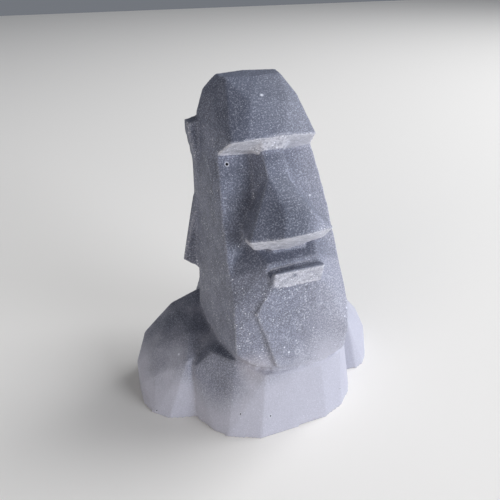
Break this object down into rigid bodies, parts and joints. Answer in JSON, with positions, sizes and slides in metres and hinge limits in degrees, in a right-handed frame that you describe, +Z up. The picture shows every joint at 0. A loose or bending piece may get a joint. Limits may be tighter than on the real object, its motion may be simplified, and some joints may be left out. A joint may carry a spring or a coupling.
{
  "type": "moai stone head statue",
  "caption": "Small cast-stone moai: a long faceted head with a heavy brow, a broad nose and long ears on a lobed bust, free-standing ornament.",
  "frame": {"origin": "middle of the bounding box on the plane that the foot stands on", "axes": "+Z up the figure, the face looks along -Y, +X is the figure's left"},
  "size_m": [0.0984, 0.0586, 0.116],
  "materials": {
    "cast_stone": "satin-matt cast mineral stone, slate grey above fading to pale lilac-white at the foot, with fine white specks"
  },
  "bodies": {
    "root": {"moai": "cast_stone"}
  },
  "joints": []
}
